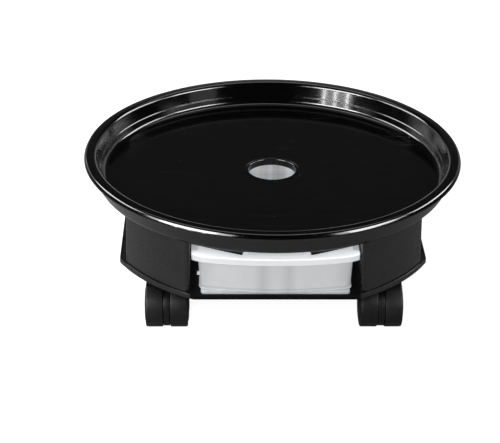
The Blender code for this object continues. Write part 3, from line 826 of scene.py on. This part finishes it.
def make_drawer():
    shape = new_shape()
    outline = body_outline(DRAWER_HALF, DRAWER_FRONT, DRAWER_REAR, 0.0110, 0.0080)
    levels = edge_levels(FOOT_TOP - 0.0003, DRAWER_TOP - 0.0003, 0.0008, 0.0004)
    add_rings(shape, drafted(outline, levels))
    drawer = close_shape(shape, "drawer")
    shape = new_shape()
    add_slab(shape, flange_outline(), edge_levels(FLANGE_LOW, DRAWER_TOP, 0.0004, 0.0009))
    flange = close_shape(shape, "flange")
    shape = new_shape()
    ridge = body_outline(RIDGE_HALF, RIDGE_FRONT, DRAWER_REAR - 0.001, 0.0100, 0.0080)
    add_slab(shape, ridge, edge_levels(FOOT_TOP - 0.0006, FOOT_TOP + 0.0012, 0.0005, 0.0006))
    ridge_piece = close_shape(shape, "ridge")
    shape = new_shape()
    foot = [(-FOOT_HALF, FOOT_FRONT, 0.0030), (FOOT_HALF, FOOT_FRONT, 0.0030)]
    foot += [(FOOT_HALF, DRAWER_REAR - 0.003, 0.0060), (-FOOT_HALF, DRAWER_REAR - 0.003, 0.0060)]
    add_slab(shape, rounded(foot, 6), edge_levels(DRAWER_LOW, FOOT_TOP, 0.0006, 0.0008))
    foot_piece = close_shape(shape, "foot")
    shape = new_shape()
    for side in (-1, 1):
        ends = sorted((side * (DRAWER_HALF - 0.0010), side * RUNNER_FAR))
        start = (ends[0], RUNNER_FRONT, RUNNER_LOW)
        add_block(shape, start, (ends[1], DRAWER_REAR - 0.0040, RUNNER_HIGH), 0.0005)
    add_block(shape, NUB_LOW, NUB_HIGH, 0.0006)
    runners = close_shape(shape, "runners")
    shape = new_shape()
    half = DRAWER_HALF - DRAWER_WALL
    room = body_outline(half, ROOM_WALL_FRONT, DRAWER_REAR - DRAWER_WALL, 0.0060, 0.0060)
    levels = edge_levels(DRAWER_LOW + DRAWER_WALL, DRAWER_TOP + 0.0020, 0.0015, 0.0003)
    add_rings(shape, drafted(room, levels))
    inside = close_shape(shape, "inside")
    shape = new_shape()
    turn = bow(HOLLOW_HALF, HOLLOW_FRONT)
    hollow = [(-HOLLOW_HALF, turn, 0.002), (-0.0300, HOLLOW_MIDDLE, 0.0)]
    hollow += [(0.0300, HOLLOW_MIDDLE, 0.0), (HOLLOW_HALF, turn, 0.002)]
    hollow += [(HOLLOW_HALF, HOLLOW_REAR, 0.0015), (-HOLLOW_HALF, HOLLOW_REAR, 0.0015)]
    add_slab(shape, rounded(hollow, 5), edge_levels(DRAWER_LOW - 0.0010, DRAWER_TOP - 0.0021, 0.0003, 0.0010))
    panel_hollow = close_shape(shape, "panel_hollow")
    shape = new_shape()
    outer = GRIP_HALF + GRIP_WALL
    start = (-outer, GRIP_FRONT - GRIP_WALL, GRIP_LOW - GRIP_WALL)
    add_block(shape, start, (outer, -0.1180, DRAWER_TOP - 0.0006), 0.0008)
    grip_walls = close_shape(shape, "grip_walls")
    shape = new_shape()
    start = (-GRIP_HALF, GRIP_FRONT, GRIP_LOW)
    add_block(shape, start, (GRIP_HALF, GRIP_REAR, DRAWER_TOP + 0.0020), 0.0015)
    grip = close_shape(shape, "grip")
    carve(panel_hollow, [grip_walls])
    fuse(drawer, [flange, ridge_piece, foot_piece, runners])
    carve(drawer, [inside, panel_hollow, grip])
    steady_normals(drawer)
    return put(drawer, "drawer", MILKY, "drawer_plastic", "water_drawer")


# ---------------------------------------------------------------- fasteners

HEAD_TOP = 0.0020
SHANK_RADIUS = 0.0016
CROSS_LONG = 0.45
CROSS_WIDE = 0.09


def make_screw(name, head):
    """A pan-head screw pointing up, with a cross cut into its head."""
    low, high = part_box(name)
    x, y = (low.x + high.x) / 2, (low.y + high.y) / 2
    screw = turned_piece(f"{name}_steel", [
        (0.0, low.z, 0.0),
        (head * 0.70, low.z, 0.0006),
        (head, low.z + 0.0010, 0.0004),
        (head, low.z + HEAD_TOP, 0.0002),
        (SHANK_RADIUS, low.z + HEAD_TOP, 0.0003),
        (SHANK_RADIUS, high.z - 0.0014, 0.0),
        (SHANK_RADIUS / 2, high.z, 0.0002),
        (0.0, high.z, 0.0),
    ], 48, Matrix.Translation((x, y, 0.0)))
    arms = []
    for share_x, share_y in ((CROSS_LONG, CROSS_WIDE), (CROSS_WIDE, CROSS_LONG)):
        arm_x, arm_y = head * share_x, head * share_y
        shape = new_shape()
        start = (x - arm_x, y - arm_y, low.z - 0.0010)
        add_block(shape, start, (x + arm_x, y + arm_y, low.z + 0.0009), 0.0002)
        arms.append(close_shape(shape, "cross"))
    carve(screw, arms)
    put(screw, "base", ZINC, "steel", name)


def make_screws():
    for word, count, head in (("tray_screw", 4, 0.0062), ("plate_screw", 6, 0.0042)):
        for number in range(1, count + 1):
            make_screw(f"{word}_{number}", head)


# ---------------------------------------------------------------- casters

WHEEL_INNER = 0.0032
WHEEL_OUTER = 0.0184
RIM_INNER = 0.0159
HUB_OUTER = 0.0154
HUB_RADIUS = 0.0062
HUB_FLOOR = WHEEL_INNER + 0.0028
CAP_RADIUS = 0.0155
CAP_SEAT = 0.0162
TRAIL = 0.0145
WHEEL_RADIUS = 0.0200
AXLE_RADIUS = 0.0030
WHEEL_BORE = 0.0034
SOCKET_RADIUS = 0.0060
SOCKET_BORE = 0.0043
SOCKET_COLLAR = 0.0080
STEM_RADIUS = 0.0040
STEM_NECK = 0.0030
STEM_LEDGE = 0.0448
NECK_RADIUS = 0.0058
NECK_LOW = 0.0355
NECK_TOP = 0.0444
PIN_BORE = 0.0033
PIN_FLOOR = 0.0373
WEB_HALF = 0.0028
WEB_NEAR = 0.0191
WEB_BOTTOM = 0.0150
WEB_FAR = 0.0221
HOOD_HALF = 0.0178
HOOD_RADIUS = 0.0229
HOOD_UNDER = 0.0213
WHEEL_ROOM = 0.0210


def across_axle(side):
    """Turns a profile about the axle: its height runs outwards on the given side."""
    return Matrix.Rotation(side * math.pi / 2, 4, "Y")


def make_wheel(name, side, place, body):
    """A wheel and its cap, on the left (-1) or right (1) end of the axle."""
    word = "left" if side < 0 else "right"
    turned = place @ across_axle(side)
    wheel = turned_piece(f"{name}_tyre_{word}", [
        (RIM_INNER, WHEEL_OUTER - 0.0004, 0.0003),
        (RIM_INNER + 0.0010, WHEEL_OUTER, 0.0004),
        (WHEEL_RADIUS, WHEEL_OUTER, 0.0024),
        (WHEEL_RADIUS, WHEEL_INNER, 0.0009),
        (WHEEL_BORE, WHEEL_INNER, 0.0003),
        (WHEEL_BORE, HUB_OUTER, 0.0003),
        (HUB_RADIUS, HUB_OUTER, 0.0004),
        (HUB_RADIUS, HUB_FLOOR, 0.0006),
        (RIM_INNER, HUB_FLOOR, 0.0006),
    ], 96, turned, 5)
    put(wheel, body, WHEEL_BLACK, "wheel_plastic", f"{name}_wheel_{word}")
    cap = turned_piece(f"{name}_hubcap_{word}", [
        (0.0, 0.0197, 0.0),
        (0.0050, 0.0196, 0.0020),
        (0.0118, 0.0188, 0.0010),
        (0.0124, 0.0192, 0.0004),
        (0.0146, 0.0190, 0.0008),
        (CAP_RADIUS, 0.0180, 0.0006),
        (CAP_RADIUS, CAP_SEAT, 0.0003),
        (0.0, CAP_SEAT, 0.0),
    ], 96, turned)
    put(cap, body, CASTER_BLACK, "wheel_plastic", f"{name}_cap_{word}")


def make_caster(name):
    """One twin-wheel caster, turned the way its wheels' axis points."""
    socket_low, socket_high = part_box(name + "_socket")
    x, y = (socket_low.x + socket_high.x) / 2, (socket_low.y + socket_high.y) / 2
    axis = Vector(JOINTS[name + "_left_wheel_spin"]["axis"])
    yaw = math.atan2(axis.y, axis.x)
    upright = Matrix.Translation((x, y, 0.0)) @ Matrix.Rotation(yaw, 4, "Z")
    axle_place = upright @ Matrix.Translation((0.0, -TRAIL, WHEEL_RADIUS))
    caster_body = name + "_caster"

    socket = turned_piece(name + "_sleeve", [
        (SOCKET_RADIUS, socket_high.z, 0.0004),
        (SOCKET_BORE, socket_high.z, 0.0003),
        (SOCKET_BORE, socket_low.z, 0.0003),
        (SOCKET_COLLAR, socket_low.z, 0.0003),
        (SOCKET_COLLAR, socket_low.z + 0.0009, 0.0003),
        (SOCKET_RADIUS, socket_low.z + 0.0009, 0.0002),
    ], 48, Matrix.Translation((x, y, 0.0)))
    put(socket, "base", CASTER_BLACK, "caster_plastic", name + "_socket")

    stem_low, stem_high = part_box(name + "_stem")
    stem = turned_piece(name + "_pin", [
        (0.0, stem_high.z, 0.0),
        (STEM_NECK, stem_high.z, 0.0005),
        (STEM_RADIUS, stem_high.z - 0.0010, 0.0005),
        (STEM_RADIUS, STEM_LEDGE, 0.0003),
        (STEM_NECK, STEM_LEDGE, 0.0002),
        (STEM_NECK, stem_low.z, 0.0004),
        (0.0, stem_low.z, 0.0),
    ], 40, Matrix.Translation((x, y, 0.0)))
    put(stem, "base", ZINC, "steel", name + "_stem")

    axle = turned_piece(name + "_axle_rod", [
        (0.0, -HUB_OUTER, 0.0),
        (AXLE_RADIUS, -HUB_OUTER, 0.0004),
        (AXLE_RADIUS, HUB_OUTER, 0.0004),
        (0.0, HUB_OUTER, 0.0),
    ], 40, axle_place @ across_axle(1))
    put(axle, caster_body, ZINC, "steel", name + "_axle")

    make_yoke(name, upright, caster_body)
    for side, word in ((-1, "left"), (1, "right")):
        make_wheel(name, side, axle_place, f"{name}_{word}_wheel")


def side_solid(name, corners, half, soft, upright):
    """A solid outlined in (y, z) that reaches half its width to each side, with softened edges."""
    shape = new_shape()
    outline = rounded(corners)
    area = sum(a[0] * b[1] - b[0] * a[1] for a, b in zip(outline, outline[1:] + outline[:1]))
    if area < 0:
        outline.reverse()
    levels = edge_levels(-half, half, soft, steps=3)
    rings = [[(across, y, z) for y, z in inset(outline, d)] for d, across in levels]
    add_rings(shape, rings)
    return close_shape(shape, name, upright)


def bent(radius, start, end, count, soft=0.0):
    """Corners along an arc about the axle, for an outline in (y, z)."""
    return [(y, z, soft) for y, z in arc(-TRAIL, WHEEL_RADIUS, radius, start, end, count)]


def make_yoke(name, upright, body):
    """Neck, web between the wheels and hood over them, in one piece."""
    yoke = turned_piece(name + "_frame", [
        (0.0, PIN_FLOOR, 0.0),
        (PIN_BORE, PIN_FLOOR, 0.0003),
        (PIN_BORE, NECK_TOP, 0.0003),
        (0.0050, NECK_TOP, 0.0008),
        (NECK_RADIUS, 0.0425, 0.0006),
        (NECK_RADIUS, NECK_LOW, 0.0003),
        (0.0, NECK_LOW, 0.0),
    ], 48, upright)
    web = bent(WEB_FAR, 46, -10, 12) + bent(WEB_BOTTOM, -45, -80, 2, 0.0020) + bent(WEB_NEAR, -102, -228, 24)
    web += [(-0.0116, 0.0384, 0.0060), (-0.0046, 0.0430, 0.0020), (0.0, 0.0430, 0.0)]
    web_piece = side_solid("web", web, WEB_HALF, 0.0004, upright)
    hood = bent(HOOD_RADIUS, -12, 98, 24) + bent(HOOD_UNDER, 98, -12, 24)
    hood_piece = side_solid("hood", hood, HOOD_HALF, 0.0005, upright)
    along_axle = upright @ Matrix.Translation((0.0, -TRAIL, WHEEL_RADIUS)) @ across_axle(1)
    room = peg("room", WHEEL_ROOM, -0.0068, 0.0068, [(0.0, 0.0)], 96)
    room.data.transform(along_axle)
    carve(yoke, [room])
    fuse(yoke, [web_piece, hood_piece])
    bore = peg("bore", PIN_BORE, -0.0040, 0.0040, [(0.0, 0.0)], 40)
    bore.data.transform(along_axle)
    pin_room = peg("pin_room", PIN_BORE, PIN_FLOOR, 0.0460, [(0.0, 0.0)], 40)
    pin_room.data.transform(upright)
    carve(yoke, [bore, pin_room])
    put(yoke, body, CASTER_BLACK, "caster_plastic", name + "_yoke")


# ---------------------------------------------------------------- studio

CAMERA_TARGET = Vector((-0.0200, -0.0204, 0.0614))
CAMERA_DISTANCE = 1.413
CAMERA_AZIMUTH = -1.18
CAMERA_ELEVATION = 27.26
CAMERA_ROLL = math.radians(0.6)
CAMERA_LENS = 111.5
LAMP_TARGET = Vector((0.0, 0.0, 0.08))
LAMP_DISTANCE = 1.6
BLACK = (0.0, 0.0, 0.0)
WHITE = (1.0, 1.0, 1.0)
WORLD_FRONT = (0.006, 0.006, 0.006)
WORLD_BACK = (0.045, 0.045, 0.045)
WORLD_HORIZON = (0.60, 0.60, 0.60)
# Heights, and how far behind, as parts of the view's direction
HORIZON_FADE = (0.16, 0.34)
ABOVE_FADE = (0.45, 0.75)
BEHIND_FADE = (0.55, 0.90)
FLOOR_HALF = 4.0
FLOOR_GLOW = 0.92
FLOOR_SEEN = (0.40, 0.40, 0.40, 1.0)
FLOOR_FELT = (0.32, 0.32, 0.32, 1.0)


def direction(azimuth, elevation):
    """From the object, azimuth in degrees to the right of the viewer, elevation above the floor."""
    a, e = math.radians(azimuth), math.radians(elevation)
    return Vector((math.sin(a) * math.cos(e), -math.cos(a) * math.cos(e), math.sin(e)))


def make_camera():
    back = direction(CAMERA_AZIMUTH, CAMERA_ELEVATION)
    data = bpy.data.cameras.new("camera")
    data.lens = CAMERA_LENS
    data.sensor_width = 36.0
    data.sensor_fit = "HORIZONTAL"
    data.clip_end = 50.0
    camera = bpy.data.objects.new("camera", data)
    bpy.context.scene.collection.objects.link(camera)
    turn = back.to_track_quat("Z", "Y").to_matrix() @ Matrix.Rotation(CAMERA_ROLL, 3, "Z")
    camera.matrix_world = Matrix.Translation(CAMERA_TARGET + back * CAMERA_DISTANCE) @ turn.to_4x4()
    bpy.context.scene.camera = camera


def area_light(name, azimuth, elevation, size, power, distance=LAMP_DISTANCE, glossy=True, diffuse=True):
    """A rectangular lamp aimed at the object; each kind of ray can be left out."""
    data = bpy.data.lights.new(name, "AREA")
    data.shape = "RECTANGLE"
    data.size, data.size_y = size
    data.energy = power
    lamp = bpy.data.objects.new(name, data)
    bpy.context.scene.collection.objects.link(lamp)
    back = direction(azimuth, elevation)
    lamp.location = LAMP_TARGET + back * distance
    lamp.rotation_euler = back.to_track_quat("Z", "Y").to_euler()
    lamp.visible_glossy = glossy
    lamp.visible_diffuse = diffuse


def card(name, azimuth, elevation, size, power, distance=LAMP_DISTANCE):
    """A lamp that only shows as a reflection."""
    area_light(name, azimuth, elevation, size, power, distance, diffuse=False)


def soft_lamp(name, azimuth, elevation, size, power, distance=LAMP_DISTANCE):
    """A square lamp that only lights."""
    area_light(name, azimuth, elevation, (size, size), power, distance, glossy=False)


def camera_switch(tree, felt, seen, output):
    """Shows one shader to the camera and the other to everything else."""
    path = node(tree, "ShaderNodeLightPath")
    mix = node(tree, "ShaderNodeMixShader")
    out = node(tree, output)
    tree.links.new(path.outputs["Is Camera Ray"], mix.inputs["Fac"])
    tree.links.new(felt, mix.inputs[1])
    tree.links.new(seen, mix.inputs[2])
    tree.links.new(mix.outputs["Shader"], out.inputs["Surface"])


def mixed(tree, share, first, second):
    """The first colour, giving way to the second; each is a socket or a plain colour."""
    made = node(tree, "ShaderNodeMix", data_type="RGBA")
    tree.links.new(share, made.inputs["Factor"])
    for letter, colour in (("A", first), ("B", second)):
        if isinstance(colour, tuple):
            made.inputs[letter].default_value = (*colour, 1.0)
        else:
            tree.links.new(colour, made.inputs[letter])
    return made.outputs["Result"]


def make_world():
    """White where the viewer looks past the object; dim around it, a little brighter behind."""
    world = bpy.data.worlds.new("studio")
    world.use_nodes = True
    tree = world.node_tree
    tree.nodes.clear()
    seen = node(tree, "ShaderNodeBackground")
    seen.inputs["Color"].default_value = (*WHITE, 1.0)
    seen.inputs["Strength"].default_value = 1.0
    felt = node(tree, "ShaderNodeBackground")
    felt.inputs["Strength"].default_value = 1.0
    where = node(tree, "ShaderNodeTexCoord")
    split = node(tree, "ShaderNodeSeparateXYZ")
    tree.links.new(where.outputs["Generated"], split.inputs["Vector"])
    backdrop = ramp(tree, split.outputs["Z"], WORLD_HORIZON, WORLD_BACK, *HORIZON_FADE)
    high = ramp(tree, split.outputs["Z"], BLACK, WHITE, *ABOVE_FADE)
    behind = ramp(tree, split.outputs["Y"], BLACK, WHITE, *BEHIND_FADE)
    above = mixed(tree, high, backdrop, WORLD_FRONT)
    tree.links.new(mixed(tree, behind, WORLD_FRONT, above), felt.inputs["Color"])
    camera_switch(tree, felt.outputs["Background"], seen.outputs["Background"], "ShaderNodeOutputWorld")
    bpy.context.scene.world = world


def make_floor():
    """A pale floor that looks white, and throws back less light on the object than it shows."""
    shape = new_shape()
    bmesh.ops.create_grid(shape, x_segments=8, y_segments=8, size=FLOOR_HALF)
    mesh = bpy.data.meshes.new("floor")
    shape.to_mesh(mesh)
    shape.free()
    floor = link("floor", mesh)
    made = bpy.data.materials.new("pale_floor")
    made.use_nodes = True
    tree = made.node_tree
    tree.nodes.clear()
    seen = node(tree, "ShaderNodeBsdfDiffuse")
    seen.inputs["Color"].default_value = FLOOR_SEEN
    glow = node(tree, "ShaderNodeEmission")
    glow.inputs["Strength"].default_value = FLOOR_GLOW
    felt = node(tree, "ShaderNodeBsdfDiffuse")
    felt.inputs["Color"].default_value = FLOOR_FELT
    both = node(tree, "ShaderNodeAddShader")
    tree.links.new(seen.outputs["BSDF"], both.inputs[0])
    tree.links.new(glow.outputs["Emission"], both.inputs[1])
    camera_switch(tree, felt.outputs["BSDF"], both.outputs["Shader"], "ShaderNodeOutputMaterial")
    mesh.materials.append(made)


def make_studio():
    make_camera()
    make_world()
    make_floor()
    card("card_left", -50, 27, (0.90, 0.50), 32.0)
    card("card_right", 58, 28, (0.80, 0.50), 20.0)
    card("card_left_wide", -50, 26, (1.50, 0.46), 24.0, 1.7)
    card("card_right_wide", 58, 27, (1.30, 0.46), 16.0, 1.7)
    card("card_left_low", -47, 6, (0.62, 0.40), 3.4)
    card("card_right_low", 48, 6, (0.55, 0.40), 0.5)
    card("card_left_back", -108, 31, (1.15, 0.50), 24.0)
    card("card_right_back", 110, 31, (1.15, 0.50), 24.0)
    card("card_left_side", -125, 15, (1.20, 0.28), 1.3)
    card("card_right_side", 125, 15, (1.20, 0.28), 0.3)
    card("card_top", 180, 66, (1.40, 0.80), 8.0)
    for azimuth in (-38, -46, -55):
        card(f"strip{azimuth}", azimuth, 5, (0.03, 0.38), 1.6)
    soft_lamp("lamp_front", -4, 31, 0.45, 16.0)
    soft_lamp("lamp_left", -55, 48, 0.90, 14.0)
    soft_lamp("lamp_right", 60, 45, 0.90, 3.5)
    soft_lamp("lamp_side", -90, 45, 0.40, 2.5, 0.7)
    soft_lamp("lamp_top", 180, 70, 1.20, 8.0)
    bpy.context.scene.view_settings.view_transform = "Standard"


make_studio()
make_saucer()
make_drum()
make_plate()
make_drawer()
make_screws()
for caster in CASTERS:
    make_caster(caster)
